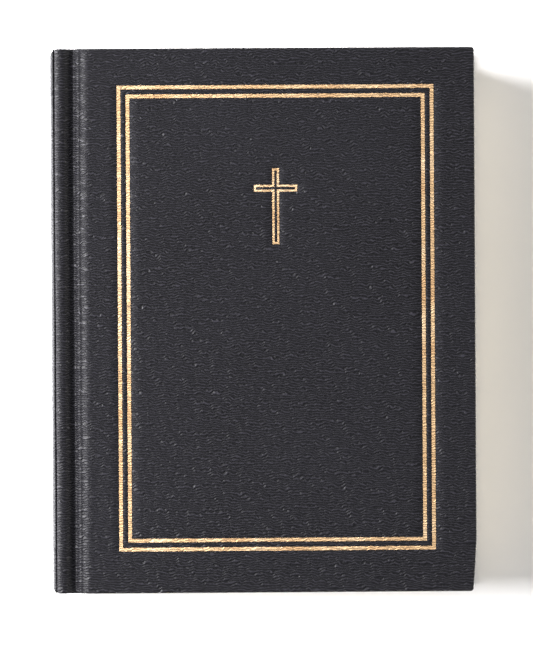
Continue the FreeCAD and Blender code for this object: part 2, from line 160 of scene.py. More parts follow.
def smooth_step(low, high, value):
    share = np.clip((np.asarray(value, float) - low) / (high - low), 0, 1)
    return share * share * (3 - 2 * share)


def lines_at(low, high, spacing, marks=()):
    """Grid lines from low to high, about a spacing apart, that pass through every mark."""
    stops = sorted({low, high, *[m for m in marks if low < m < high]})
    lines = [low]
    for start, end in zip(stops, stops[1:]):
        count = max(1, round((end - start) / spacing))
        lines += [start + (end - start) * k / count for k in range(1, count + 1)]
    return np.array(lines)


def plate(name, xs, ys, keep, top, bottom, finish, smooth=False):
    """A closed sheet over the grid cells that keep() accepts, between two height functions."""
    used, points, faces = {}, [], []

    def corner(i, j, level):
        if (i, j, level) not in used:
            used[i, j, level] = len(points)
            height = (top if level else bottom)(xs[i], ys[j])
            points.append((xs[i], ys[j], float(height)))
        return used[i, j, level]

    cells = {
        (i, j)
        for i in range(len(xs) - 1)
        for j in range(len(ys) - 1)
        if keep((xs[i] + xs[i + 1]) / 2, (ys[j] + ys[j + 1]) / 2)
    }
    for i, j in sorted(cells):
        ring = [(i, j), (i + 1, j), (i + 1, j + 1), (i, j + 1)]
        faces.append([corner(*at, 1) for at in ring])
        faces.append([corner(*at, 0) for at in reversed(ring)])
        beside = [(i, j - 1), (i + 1, j), (i, j + 1), (i - 1, j)]
        for (a, b), neighbour in zip(zip(ring, ring[1:] + ring[:1]), beside):
            if neighbour not in cells:
                faces.append([corner(*a, 0), corner(*b, 0), corner(*b, 1), corner(*a, 1)])
    return add_piece(name, points, faces, finish, smooth)


def settle(piece, body, slot, *replaced):
    """The piece rides on a body and stands for CAD nodes; slot is not used."""
    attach(piece, body)
    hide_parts(*replaced)


print("lines 10 apart from 0 to 40, through 13:", lines_at(0, 40, 10, [13]))

# %% [markdown]
# ## Where things are
#
# The CAD boxes give the covers, the pages and the joints.  The spine's arc is found from the spine strip:
# its outermost point and its top corner fix the circle.

# %% Places from the frame
cover_low, cover_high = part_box("front_cover_leather")
board_low, board_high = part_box("front_board")
page_low, page_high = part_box("front_flyleaf")
TOP = cover_high.z
MIDDLE = TOP / 2
HEAD = cover_high.y
FORE = cover_high.x
SPINE = -FORE
LEATHER = TOP - board_high.z
COVER_THICK = TOP - cover_low.z
HINGE = page_low.x
BOARD_EDGE = board_low.x
TURN_IN = 15.0 * MM
WINDOW_X = FORE - TURN_IN
WINDOW_Y = HEAD - TURN_IN


def arc_of(name):
    """Centre and radius of the outer face of a CAD sheet that bends round the spine."""
    points = [v.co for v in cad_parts[name].data.vertices]
    top = max(p.z for p in points)
    outermost = min(p.x for p in points)
    near_top = top - 0.01 * MM
    corner = min(p.x for p in points if p.z > near_top)
    sag, reach = corner - outermost, top - MIDDLE
    radius = (reach**2 + sag**2) / (2 * sag)
    return outermost + radius, radius


ARC_X, CARD_RADIUS = arc_of("spine_strip")
print("spine strip's radius, mm:", round(CARD_RADIUS / MM, 2), "pages from", round(HINGE / MM, 2))

# %% [markdown]
# ## Bonded leather
#
# Bonded leather is ground hide on a thin backing, dyed black, sealed with a thin coat and rolled with a
# fine, worm-like grain that runs across the cover.  To the eye it is nearly black, with soft highlights
# on the grain's tops and faint grey clouds.  Here those highlights are painted into the colour, lighter on
# the grain's tops, with painted shade in the creases.  The creases are really about 0.7 mm apart and are
# drawn 0.86 mm apart, so that they show.  Wavy bands bent by noise give the long wrinkles, and a stretched
# Voronoi pattern breaks them into short ones; an image of leather would repeat, and this never does.

# %% Black bonded leather
GRAIN = 0.86 * MM


def rolled_grain(tree, place):
    """Height of the rolled grain, from 0 in a crease to 1 on top."""
    wide = {"Vector": place, "Scale": 1 / (3.4 * GRAIN), "Detail": 1.5, "Roughness": 0.5}
    sway = node(tree, "TexNoise", wide).outputs["Color"]
    centred = node(tree, "VectorMath", {0: sway, 1: (0.5, 0.5, 0.5)}, operation="SUBTRACT")
    pushed = node(tree, "VectorMath", {0: centred, "Scale": 3.0 * GRAIN}, operation="SCALE")
    bent = node(tree, "VectorMath", {0: place, 1: pushed}, operation="ADD")
    y = node(tree, "SeparateXYZ", {0: bent}).outputs["Y"]
    turns = node(tree, "Math", {0: y, 1: 2 * math.pi / GRAIN}, operation="MULTIPLY")
    wave = node(tree, "Math", {0: turns}, operation="SINE")
    wrinkles = node(tree, "MapRange", {"Value": wave, "From Min": -1.0})
    short = node(tree, "Mapping", {"Vector": bent, "Scale": (0.3, 0.85, 0.8)})
    cells = node(tree, "TexVoronoi", {"Vector": short, "Scale": 1 / GRAIN}, feature="DISTANCE_TO_EDGE")
    domes = node(tree, "MapRange", {"Value": cells, "From Max": 0.25}, interpolation_type="SMOOTHSTEP")
    mixed = node(tree, "Math", {0: wrinkles, 1: 0.8}, operation="MULTIPLY")
    return node(tree, "Math", {0: domes, 1: 0.2, 2: mixed}, operation="MULTIPLY_ADD")


def bonded_leather():
    material, tree, place = start_finish("black_bonded_leather")
    height = rolled_grain(tree, place)
    cloud = node(tree, "TexNoise", {"Vector": place, "Scale": 1 / (38 * MM), "Detail": 3.0})
    # Painted shade and painted highlight: the grain's creases are painted near black and its tops lighter
    # grey.
    grain_shade_highlight = node(tree, "ValToRGB", {0: height}, [(0.2, "020203"), (0.55, "09080A"), (0.95, "26252A")])
    share = node(tree, "Math", {0: cloud, 1: 0.4}, operation="MULTIPLY")
    # Faint grey clouds laid over the painted grain shade and highlight.
    clouded_colour = node(tree, "Mix", {0: share, 6: grain_shade_highlight, 7: linear("1B1B1F")}, data_type="RGBA")
    rough = node(tree, "MapRange", {"Value": height, "To Min": 0.48, "To Max": 0.4})
    return end_finish(material, clouded_colour, rough, height, 0.22 * MM, ior=1.26)


leather_finish = bonded_leather()

# %% [markdown]
# ## Gold foil
#
# The rules and the cross are blocked: a heated brass die presses metallic foil into the leather.  Foil is
# a mirror only on glass; here it takes the leather's grain, so it looks satin, pale gold, with specks
# missing in the deepest creases.  It shares the leather's grain function, as on the real cover, so the
# wrinkles run on through the gold.

# %% Pale gold foil


def gold_foil():
    material, tree, place = start_finish("pale_gold_foil")
    height = rolled_grain(tree, place)
    specks = {"Vector": place, "Scale": 1 / (0.9 * MM), "Detail": 3.0, "Roughness": 0.65}
    fleck = node(tree, "TexNoise", specks)
    low = node(tree, "Math", {0: height, 1: 0.14, 2: -0.07}, operation="MULTIPLY_ADD")
    cover = node(tree, "Math", {0: fleck, 1: low}, operation="ADD")
    missing = node(tree, "MapRange", {"Value": cover, "From Min": 0.35, "From Max": 0.28})
    patch = node(tree, "TexNoise", {"Vector": place, "Scale": 1 / (9 * MM), "Detail": 2.0})
    gold = node(tree, "ValToRGB", {0: patch}, [(0.3, "BA976F"), (0.5, "C7A880"), (0.75, "D8BE9B")])
    colour = node(tree, "Mix", {0: missing, 6: gold, 7: linear("2E2018")}, data_type="RGBA")
    metal = node(tree, "Math", {0: 1.0, 1: missing}, operation="SUBTRACT", use_clamp=True)
    rough = node(tree, "MapRange", {"Value": height, "To Min": 0.6, "To Max": 0.42})
    return end_finish(material, colour, rough, height, 0.08 * MM, metallic=metal)


foil_finish = gold_foil()

# %% [markdown]
# ## Papers, boards and cloths
#
# Bible paper is thin, hard and opaque, and slightly cream.  Cut through, hundreds of leaves show as fine
# lines: the real ones are 0.05 mm apart and are drawn 0.2 mm apart, so that they show.  Endpapers are
# thicker and toothed, kraft paper is brown, and millboard is grey with coarse fibres.  Each is noise at
# the size of its fibres.  Gauze and silk are woven or wound, so two sets of waves a thread apart stand
# for their threads.

# %% Papers and millboard


def layered_paper(name, light, dark, spacing):
    """Paper seen on its cut edge: leaves stacked along Z."""
    material, tree, place = start_finish(name)
    flat = node(tree, "Mapping", {"Vector": place, "Scale": (1 / (60 * MM), 1 / (60 * MM), 1 / spacing)})
    leaves = node(tree, "TexNoise", {"Vector": flat, "Scale": 1.0, "Detail": 2.0})
    stain = node(tree, "TexNoise", {"Vector": place, "Scale": 1 / (22 * MM), "Detail": 3.0})
    lined = node(tree, "ValToRGB", {0: leaves}, [(0.32, dark), (0.62, light)])
    share = node(tree, "Math", {0: stain, 1: 0.3}, operation="MULTIPLY")
    clouded_colour = node(tree, "Mix", {0: share, 6: lined, 7: linear("DCCDA9")}, data_type="RGBA")
    return end_finish(material, clouded_colour, 0.85, leaves, 0.05 * MM)


def fibrous(name, light, dark, fibre, depth=0.02):
    """Paper or board seen on its face: short fibres and faint clouds."""
    material, tree, place = start_finish(name)
    tooth = node(tree, "TexNoise", {"Vector": place, "Scale": 1 / fibre, "Detail": 5.0, "Roughness": 0.7})
    cloud = node(tree, "TexNoise", {"Vector": place, "Scale": 1 / (15 * MM), "Detail": 2.0})
    half = node(tree, "Math", {0: cloud, 1: 0.45}, operation="MULTIPLY")
    mixed = node(tree, "Math", {0: tooth, 1: 0.55, 2: half}, operation="MULTIPLY_ADD")
    shade = node(tree, "ValToRGB", {0: mixed}, [(0.38, dark), (0.62, light)])
    return end_finish(material, shade, 0.9, tooth, depth * MM)


page_finish = layered_paper("bible_paper_edges", "E6DDC8", "B5A787", 0.2 * MM)
endpaper_finish = fibrous("cream_endpaper", "CFC6AF", "C2B79D", 0.5 * MM)
board_finish = fibrous("grey_millboard", "8D8880", "6F6A61", 0.7 * MM, 0.06)
kraft_finish = fibrous("brown_kraft_paper", "A98557", "8A6A42", 0.5 * MM)

# %% [markdown]
# ## Threads
#
# Starched gauze holds the block to its case, linen thread sews the sections, and a silk thread is wound
# round each band.  All three could be modelled strand by strand, which would be very heavy.  Here crossed
# waves give the strands as a bump and as painted shade, darker in the dips between strands (in the gauze
# partly its real open weave), at the real pitch of the weave.

# %% Woven and wound threads


def threads(name, shades, pitch, across):
    """Threads a pitch apart, which cross (a weave) or only lie side by side (wound silk)."""
    material, tree, place = start_finish(name)
    parts = node(tree, "SeparateXYZ", {0: place})
    total = node(tree, "Math", {0: parts.outputs["X"], 1: parts.outputs["Z"]}, operation="ADD")
    waves = []
    for source, spacing in ((total, pitch), (parts.outputs["Y"], across)):
        turns = node(tree, "Math", {0: source, 1: 2 * math.pi / spacing}, operation="MULTIPLY")
        waves.append(node(tree, "Math", {0: turns}, operation="SINE"))
    height = node(tree, "Math", {0: waves[0], 1: waves[1]}, operation="MAXIMUM")
    # Painted shade: the colour is darker in the dips between strands; in the gauze the dips are partly its
    # real open weave.
    shade = node(tree, "ValToRGB", {0: height}, list(zip((0.0, 0.9), shades)))
    return end_finish(material, shade, 0.9, height, 0.06 * MM)


gauze_finish = threads("starched_gauze", ("9C927C", "E8E2D2"), 0.9 * MM, 0.9 * MM)
thread_finish = threads("linen_thread", ("B9AE95", "EFE8D6"), 0.3 * MM, 0.5 * MM)
silk_finish = threads("cream_silk_band", ("B9A67C", "F2E9D2"), 0.55 * MM, 40 * MM)

# %% [markdown]
# ## Printed pages
#
# An open bible shows two columns of small print.  Real words could be set as text objects, but nothing
# here needs to be read, so grey dashes stand for them: bands 2.6 mm apart along each column, broken by
# noise into words, and left out in the margins.  Paper that bends would slide through a pattern that
# hangs in space, so every leaf carries its flat place in an attribute of its own.

# %% Bible paper with grey dashes for print


def printed_paper(page_middle, page_half, column_gap):
    material, tree, place = start_finish("printed_bible_paper")
    flat = node(tree, "Attribute", attribute_name="flat_place").outputs["Vector"]
    parts = node(tree, "SeparateXYZ", {0: flat})
    from_middle = node(tree, "Math", {0: parts.outputs["X"], 1: page_middle}, operation="SUBTRACT")
    away = node(tree, "Math", {0: from_middle}, operation="ABSOLUTE")
    column_middle = column_gap / 2 + page_half[0] / 2
    column_half = page_half[0] / 2 - column_gap / 2
    off_column = node(tree, "Math", {0: away, 1: column_middle}, operation="SUBTRACT")
    aside = node(tree, "Math", {0: off_column}, operation="ABSOLUTE")
    in_column = node(tree, "Math", {0: aside, 1: column_half}, operation="LESS_THAN")
    height = node(tree, "Math", {0: parts.outputs["Y"]}, operation="ABSOLUTE")
    in_height = node(tree, "Math", {0: height, 1: page_half[1]}, operation="LESS_THAN")
    turns = node(tree, "Math", {0: parts.outputs["Y"], 1: 2 * math.pi / (2.6 * MM)}, operation="MULTIPLY")
    wave = node(tree, "Math", {0: turns}, operation="SINE")
    line = node(tree, "Math", {0: wave, 1: 0.1}, operation="GREATER_THAN")
    words = node(tree, "Mapping", {"Vector": flat, "Scale": (1 / (2.2 * MM), 1 / (1.3 * MM), 0.0)})
    word = node(tree, "TexNoise", {"Vector": words, "Scale": 1.0, "Detail": 1.0})
    inked = node(tree, "Math", {0: word, 1: 0.43}, operation="GREATER_THAN")
    ink = node(tree, "Math", {0: in_column, 1: in_height}, operation="MULTIPLY")
    for part in (line, inked):
        ink = node(tree, "Math", {0: ink, 1: part}, operation="MULTIPLY")
    tooth = node(tree, "TexNoise", {"Vector": flat, "Scale": 1 / (0.4 * MM), "Detail": 4.0})
    cloud = node(tree, "TexNoise", {"Vector": flat, "Scale": 1 / (20 * MM), "Detail": 2.0})
    paper = node(tree, "ValToRGB", {0: cloud}, [(0.35, "CDC3AA"), (0.65, "D9D1BC")])
    share = node(tree, "Math", {0: ink, 1: 0.55}, operation="MULTIPLY")
    shade = node(tree, "Mix", {0: share, 6: paper, 7: linear("4A4843")}, data_type="RGBA")
    return end_finish(material, shade, 0.85, tooth, 0.01 * MM)


PAGE_MIDDLE = (page_low.x + page_high.x) / 2
print_finish = printed_paper(PAGE_MIDDLE, page_half=(50 * MM, 72 * MM), column_gap=5 * MM)

# %% [markdown]
# ## The covering leather
#
# One skin covers the whole case.  It is laid over the boards and the spine strip, pressed into a groove
# along each joint with a hot rod, and turned in over every edge.  Here it is cut where it creases beside
# the spine: a grid follows the section, is rolled round the outer edges, comes back 15 mm on the inside,
# and then gets its thickness.

# %% A skin that is turned in
ROLL = 0.7 * MM
CORNER = 0.25 * MM
CORNER_X = FORE - ROLL - CORNER
CORNER_Y = HEAD - ROLL - CORNER
FOLDED = 2.1 * LEATHER
ROLL_STEPS = 12


def rounded_corner(x, y):
    """Moves a point of the square-cornered field onto a field with rounded fore-edge corners."""
    u = (x - CORNER_X) / CORNER
    v = (abs(y) - CORNER_Y) / CORNER
    if u <= 0 or v <= 0:
        return x, y, None
    x = CORNER_X + CORNER * u * math.sqrt(1 - v * v / 2)
    side = CORNER_Y + CORNER * v * math.sqrt(1 - u * u / 2)
    way = Vector((x - CORNER_X, math.copysign(side - CORNER_Y, y), 0))
    return x, math.copysign(side, y), way.normalized()


def outer_face(section, ys, has_fore_edge):
    """Places of the skin's outer face, and which way is outward along its turned edges."""
    count, rows = len(section), len(ys)
    top = np.zeros((count, rows, 3))
    outward = {}
    for i, (x, z, *_) in enumerate(section):
        for j, y in enumerate(ys):
            px, py, way = rounded_corner(x, y) if has_fore_edge else (x, y, None)
            top[i, j] = (px, py, z)
            at_end = j in (0, rows - 1)
            if at_end or (has_fore_edge and i == count - 1):
                plain = Vector((0, math.copysign(1, y), 0)) if at_end else Vector((1, 0, 0))
                outward[i, j] = way or plain
    return top, outward


def edge_paths(count, rows, has_fore_edge):
    """The (i, j) places along the turned edges: one run round three sides, or one at each end."""
    tail = [(i, 0) for i in range(count)]
    head = [(i, rows - 1) for i in reversed(range(count))]
    fore = [(count - 1, j) for j in range(1, rows - 1)]
    return [tail + fore + head] if has_fore_edge else [tail, head]


def turned_skin(name, section, ys, has_fore_edge, shape, flip):
    """section holds (x, z, normal x, normal z, depth) rows; shape() makes the last small moves."""
    count, rows = len(section), len(ys)
    top, outward = outer_face(section, ys, has_fore_edge)
    normals = np.array([(row[2], 0, row[3]) for row in section])
    depths = np.array([row[4] for row in section])
    under = top - (normals * depths[:, None])[:, None, :]
    points = [tuple(p) for p in top.reshape(-1, 3)]
    first_under = len(points)
    points += [tuple(p) for p in under.reshape(-1, 3)]
    faces = []
    for path in edge_paths(count, rows, has_fore_edge):
        rings = [[i * rows + j for i, j in path]]
        for step in range(1, ROLL_STEPS):
            angle = math.pi * step / ROLL_STEPS
            rings.append(range(len(points), len(points) + len(path)))
            for i, j in path:
                corner = min(ROLL, depths[i] / 2)
                sunk = corner * (1 - math.cos(angle))
                if angle > math.pi / 2:
                    sunk += depths[i] - 2 * corner
                out = outward[i, j] * (ROLL * math.sin(angle))
                points.append(tuple(top[i, j] + np.array(out) - normals[i] * sunk))
        rings.append([first_under + i * rows + j for i, j in path])
        for upper, lower in zip(rings, rings[1:]):
            for a in range(len(path) - 1):
                faces.append((upper[a], lower[a], lower[a + 1], upper[a + 1]))
    for i in range(count - 1):
        for j in range(rows - 1):
            a, b = i * rows + j, (i + 1) * rows + j
            faces.append((a, b, b + 1, a + 1))
            x, y = (section[i][0] + section[i + 1][0]) / 2, (ys[j] + ys[j + 1]) / 2
            if abs(y) > WINDOW_Y or (has_fore_edge and x > WINDOW_X):
                a, b = a + first_under, b + first_under
                faces.append((a, a + 1, b + 1, b))
    used = sorted({at for face in faces for at in face})
    new_place = {old: new for new, old in enumerate(used)}
    faces = [[new_place[at] for at in face] for face in faces]
    if flip:
        faces = [face[::-1] for face in faces]
    piece = add_piece(name, [shape(*points[at]) for at in used], faces, leather_finish)
    return thicken(piece, LEATHER)


def evened(values, window, **ends):
    """Each column averaged over a window, once its ends are carried on past the last values."""
    reach = len(window) // 2
    padded = np.pad(values, ((reach, reach), (0, 0)), **ends)
    return np.stack([np.convolve(padded[:, axis], window, "valid") for axis in (0, 1)], axis=1)


def with_normals(line, depths):
    """Adds the left-hand normal and the depth to each (x, z) of a section's line."""
    ways = np.gradient(line, axis=0)
    ways /= np.linalg.norm(ways, axis=1)[:, None]
    ways = evened(ways, np.full(13, 1 / 13), mode="edge")
    ways /= np.linalg.norm(ways, axis=1)[:, None]
    return [(x, z, -wz, wx, depth) for (x, z), (wx, wz), depth in zip(line, ways, depths)]


print("leather, mm:", round(LEATHER / MM, 2), "turned in by", round(TURN_IN / MM, 1))

# %% [markdown]
# ## Gold beds
#
# The die sinks the rules and the cross a tenth of a millimetre into the leather.  The distance to the
# middle of a gold line gives both the bed and the foil in it, so the two always fit.

# %% The gold's outlines
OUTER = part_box("gold_outer_rule")
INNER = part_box("gold_inner_rule")
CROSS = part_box("gold_cross")
RULE = 1.45 * MM
CROSS_BAR = 2.5 * MM
CROSS_LINE = 0.95 * MM
ARMS_DOWN = 6.7 * MM
SINK = 0.1 * MM
BEVEL = 0.22 * MM


def off_frame(box, width, x, y):
    """Distance outside a rectangular rule's edge; negative within the gold."""
    centre, half = (box[0] + box[1]) / 2, (box[1] - box[0]) / 2
    off = max(abs(x - centre.x) - half.x, abs(y - centre.y) - half.y)
    return abs(off + width / 2) - width / 2


def off_cross(x, y):
    low, high = CROSS
    centre_x, arms_y = (low.x + high.x) / 2, high.y - ARMS_DOWN
    upright = max(abs(x - centre_x) - CROSS_BAR / 2, y - high.y, low.y - y)
    arms = max(abs(x - centre_x) - (high.x - low.x) / 2, abs(y - arms_y) - CROSS_BAR / 2)
    return abs(min(upright, arms) + CROSS_LINE / 2) - CROSS_LINE / 2


def off_gold(x, y):
    return min(off_frame(OUTER, RULE, x, y), off_frame(INNER, RULE, x, y), off_cross(x, y))


def gold_marks(axis):
    """Grid lines at every gold edge and at the foot of its bevel."""
    edges = []
    for box, width in ((OUTER, RULE), (INNER, RULE), (CROSS, CROSS_LINE)):
        for edge, way in ((box[0][axis], 1), (box[1][axis], -1)):
            edges += [(edge, -way), (edge + way * width, way)]
    middle = (CROSS[0].x + CROSS[1].x) / 2 if axis == 0 else CROSS[1].y - ARMS_DOWN
    for way in (1, -1):
        edges += [(middle + way * CROSS_BAR / 2, way), (middle + way * (CROSS_BAR / 2 - CROSS_LINE), -way)]
    return sorted({round(e, 6) for e, _ in edges} | {round(e + way * BEVEL, 6) for e, way in edges})


UNEVEN = 0.05 * MM
SWELL_LENGTH = 45 * MM


def lie(x, y):
    """How far a cover's face lies under its true plane: millboard is never quite flat."""
    return UNEVEN * (1 + noise.noise(Vector((x / SWELL_LENGTH, y / SWELL_LENGTH, 3.1))))


def bed(x, y):
    return SINK * float(smooth_step(BEVEL, 0.0, off_gold(x, y)))


print("outer rule, mm:", [round(side / MM, 1) for side in OUTER[1] - OUTER[0]][:2])

# %% [markdown]
# ## The joint's section
#
# The groove beside the spine lets the cover swing.  It is the most telling part of such a binding, so its
# section is drawn first, as a line of points across the joint, and then swept from head to tail.  A bevel
# on a box would give one even groove, but pressed leather has a sharp foot and a soft double swell beside
# it.

# %% The joint's section
# Points from the crease beside the spine: over the ridge, down into the groove, up the board's edge in two
# soft bumps and onto the flat of the cover, in millimetres from the spine and down from the cover's face.
JOINT_LINE = [
    (1.34, 2.60), (1.31, 2.00), (1.36, 1.40), (1.55, 0.90), (1.92, 0.52), (2.45, 0.28), (3.10, 0.16),
    (3.90, 0.20), (4.60, 0.44), (5.40, 1.02), (6.30, 1.74), (7.10, 2.24), (7.60, 2.34), (8.10, 1.96),
    (8.70, 1.34), (9.20, 0.98), (9.85, 0.96), (10.25, 0.82), (10.85, 0.46), (11.55, 0.18), (12.40, 0.04),
    (13.20, 0.00), (14.00, 0.00),
]
STEP = 0.28 * MM
FINE_STEP = 0.04 * MM


def smooth_line(marks):
    """Section points joined by one smooth curve of even steps, as places in X and Z."""
    marks = np.array(marks) * MM
    lengths = np.r_[0, np.cumsum(np.linalg.norm(np.diff(marks, axis=0), axis=1))]
    fine = np.arange(0, lengths[-1], FINE_STEP)
    line = np.stack([np.interp(fine, lengths, marks[:, axis]) for axis in (0, 1)], axis=1)
    window = np.hanning(17)
    line = evened(line, window / window.sum(), mode="reflect", reflect_type="odd")
    pick = np.linspace(0, len(line) - 1, int(lengths[-1] / STEP)).astype(int)
    return np.stack([SPINE + line[pick, 0], TOP - line[pick, 1]], axis=1)


FRONT_JOINT = smooth_line(JOINT_LINE)
FLAT = FRONT_JOINT[-1][0]
print("joint:", len(FRONT_JOINT), "points, flat of the cover from", round((FLAT - SPINE) / MM, 1), "mm")

# %% [markdown]
# ## The two covers' leather
#
# Each cover's skin is the joint's section, carried on over the flat of the board to the fore-edge.  It
# could be left as straight as that, but a cover made and used by hand is not: the groove wanders, the
# boards are not quite flat, and one corner was dropped.  Small functions of place make those moves.

# %% Front and back skins
CORNER_SHARES = (1.0, 0.75, 0.5, 0.25)
FIELD_STEP = 3.0 * MM
WANDER = 0.16 * MM
FADE = 0.11 * MM
KNOCK_REACH = 18 * MM
KNOCK_IN = 1.1 * MM
KNOCK_DOWN = 0.15 * MM


def cover_section(marks):
    field = lines_at(FLAT, FORE - ROLL, FIELD_STEP, marks)[1:]
    corner = [FORE - ROLL - CORNER * share for share in CORNER_SHARES]
    field = np.array(sorted({round(x, 7) for x in [*field, *corner]}))
    line = np.concatenate([FRONT_JOINT, np.stack([field, np.full(len(field), TOP)], axis=1)])
    climb = smooth_step(BOARD_EDGE - 1.2 * MM, BOARD_EDGE + 1.0 * MM, line[:, 0])
    return with_normals(line, FOLDED + (COVER_THICK - FOLDED) * climb)


def height_lines(marks=()):
    ends = [s * (HEAD - ROLL - CORNER * share) for share in CORNER_SHARES for s in (-1, 1)]
    window = [s * WINDOW_Y for s in (-1, 1)]
    return lines_at(-(HEAD - ROLL), HEAD - ROLL, FIELD_STEP, [*marks, *ends, *window])


def joint_life(x, y, z):
    """The groove was pressed by hand: its bumps wander a little and fade towards the head."""
    in_joint = 1 - float(smooth_step(BOARD_EDGE + 0.5 * MM, FLAT, x))
    wander = WANDER * noise.noise(Vector((0.3, y / (24 * MM), 7.7)))
    near_head = float(smooth_step(0.55 * HEAD, HEAD, y))
    deep = float(smooth_step(0.3 * MM, 1.4 * MM, TOP - z))
    return x + in_joint * wander, y, z + in_joint * FADE * near_head * deep


def knock(x, y, z):
    """The fore-edge corner at the tail was dropped once: it leans in over its last 18 mm."""
    near_tail = float(np.clip((KNOCK_REACH - HEAD - y) / KNOCK_REACH, 0, 1)) ** 1.2
    share = near_tail * float(smooth_step(0, FORE, x))
    return x - KNOCK_IN * share, y, z - KNOCK_DOWN * share


def shape_front(x, y, z):
    if z > TOP - LEATHER:
        z -= (lie(x, y) + bed(x, y)) * float(smooth_step(BOARD_EDGE, FLAT, x))
    return knock(*joint_life(x, y, z))


def shape_back(x, y, z):
    """The back is made as a second front, less uneven, and turned over."""
    if z > TOP - LEATHER:
        z -= lie(-x, y) * float(smooth_step(BOARD_EDGE, FLAT, x)) * 0.4
    x, y, z = joint_life(x, -y, z)
    return x, -y, TOP - z


front_section, front_ys = cover_section(gold_marks(0)), height_lines(gold_marks(1))
front_leather = turned_skin("front_leather_skin", front_section, front_ys, True, shape_front, flip=False)
back_section, back_ys = cover_section(()), height_lines()
back_leather = turned_skin("back_leather_skin", back_section, back_ys, True, shape_back, flip=True)
print("front leather:", len(front_leather.data.polygons), "faces")

# %% [markdown]
# ## The hinge
#
# A case-bound book has no hinge pins: the leather itself bends in the groove.  It could be cut into two
# rigid pieces that meet there, but they would gape when the cover opens, so each skin is one piece across
# the groove, and the CAD's cover and joint leather that it stands for are hidden.

# %% Hide the CAD leather under the skins
BEND_START = SPINE + 4.4 * MM
BEND_END = BOARD_EDGE


def bend(piece, side, body, slot, *replaced, start_x=BEND_START, end_x=BEND_END):
    """Hides the CAD nodes that the piece stands for and bakes its place into its points; body is not used.
    """
    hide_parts(*replaced)
    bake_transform(piece)


for side, piece in (("front", front_leather), ("back", back_leather)):
    bend(piece, side, f"{side}_cover", "black_leather", f"{side}_cover_leather", f"{side}_joint_leather")
print("leather bends over, mm:", round((BEND_END - BEND_START) / MM, 1))

# %% [markdown]
# ## The front board
#
# Grey millboard fills the leather of the front cover.  Its CAD shape would do, but this cover's corner at
# the tail was once knocked in, and the board under the leather had to give way as well.  So it is cut
# here as a grid, and the same knock is given to its points.

# %% A board that took the knock
def knocked_board():
    low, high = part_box("front_board")
    xs = lines_at(low.x, high.x, 8 * MM)
    ys = lines_at(low.y, high.y, 4 * MM)
    piece = plate(
        "front_board_knocked", xs, ys, lambda x, y: True, lambda x, y: high.z, lambda x, y: low.z,
        board_finish,
    )
    for vertex in piece.data.vertices:
        vertex.co = knock(*vertex.co)
    return piece


front_board = knocked_board()
settle(front_board, "front_cover", "grey_board", "front_board")
print("front board:", len(front_board.data.vertices), "points")

# %% [markdown]
# ## The spine
#
# The spine's leather runs from crease to crease over a strip of card.  At the head and tail it is turned
# in over the strip, and pulled in a little, so the ends of the spine are slightly hollow.

# %% Spine leather and strip
# From the crease over a small shoulder and down to the spine's middle, measured like the joint.
SHOULDER_LINE = [
    (1.27, 2.60), (1.24, 2.12), (1.10, 1.80), (0.86, 1.66), (0.62, 1.84), (0.42, 2.35), (0.22, 3.40),
    (-0.05, 5.20), (-0.33, 8.50), (-0.50, 12.00), (-0.56, 16.00),
]
SPINE_DEPTH = 0.8 * MM + FOLDED
THIN_EDGE = 0.5 * MM
SHOULDER = 1.3 * MM
HEAD_DRAW = 1.5 * MM
TAIL_DRAW = 0.9 * MM
CARD = 0.75 * MM


def drawn_in(x, y, z):
    """The ends of the spine are drawn in towards its middle, more at the head."""
    share = float(smooth_step(SPINE + SHOULDER, SPINE, x))
    return x, y * (1 - (HEAD_DRAW if y > 0 else TAIL_DRAW) / HEAD * share), z


def spine_skin():
    half = smooth_line(SHOULDER_LINE)
    line = np.concatenate([half, np.array([1, -1]) * half[-2::-1] + np.array([0, TOP])])
    # Thin over the tight shoulders, or the turned-in layer would cross the outer one there.
    from_face = np.minimum(line[:, 1], TOP - line[:, 1])
    depths = [THIN_EDGE + (SPINE_DEPTH - THIN_EDGE) * smooth_step(4 * MM, 9 * MM, z) for z in from_face]
    section = [(x, z, -nx, -nz, depth) for x, z, nx, nz, depth in with_normals(line, depths)]

    def shape(x, y, z):
        sway = 0.06 * MM * noise.noise(Vector((x / (30 * MM), y / (30 * MM), z / (9 * MM))))
        return drawn_in(x + abs(sway), y, z)

    return turned_skin("spine_leather_skin", section, height_lines(), False, shape, flip=True)


def spine_line(radius, reach, count):
    """Points of an arc about the spine's centre, from the front down to the back."""
    half = math.asin(reach / radius)
    angles = np.linspace(half, -half, count)
    return [(ARC_X - radius * math.cos(a), MIDDLE + radius * math.sin(a)) for a in angles]


def card_strip():
    rows = lines_at(-(HEAD - 1.2 * MM), HEAD - 1.2 * MM, 6.0 * MM)
    line = spine_line(CARD_RADIUS - 0.05 * MM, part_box("spine_strip")[1].z - MIDDLE, 40)
    points = [drawn_in(x - 0.5 * MM, y, z) for x, z in line for y in rows]
    count = len(rows)
    faces = [
        (i * count + j, i * count + j + 1, (i + 1) * count + j + 1, (i + 1) * count + j)
        for i in range(len(line) - 1)
        for j in range(count - 1)
    ]
    return thicken(add_piece("spine_card_strip", points, faces, board_finish), CARD)


spine_leather = spine_skin()
spine_card = card_strip()
settle(spine_leather, "book_block", "black_leather", "spine_leather")
settle(spine_card, "book_block", "spine_card", "spine_strip")
print("spine leather:", len(spine_leather.data.polygons), "faces")

# %% [markdown]
# ## Foil in the beds
#
# Foil is about a thousandth of a millimetre thick, far too thin to model, so each gold piece is a thin
# closed plate that fills its bed.  It could be cut out with booleans, but a grid whose lines pass through
# every gold edge gives it directly, and its edge can then be made a little ragged, as a worn die leaves it.

# %% Gold rules and cross
FOIL_TOP = 0.035 * MM
RAGGED = 0.13 * MM
PROBE = 0.01 * MM


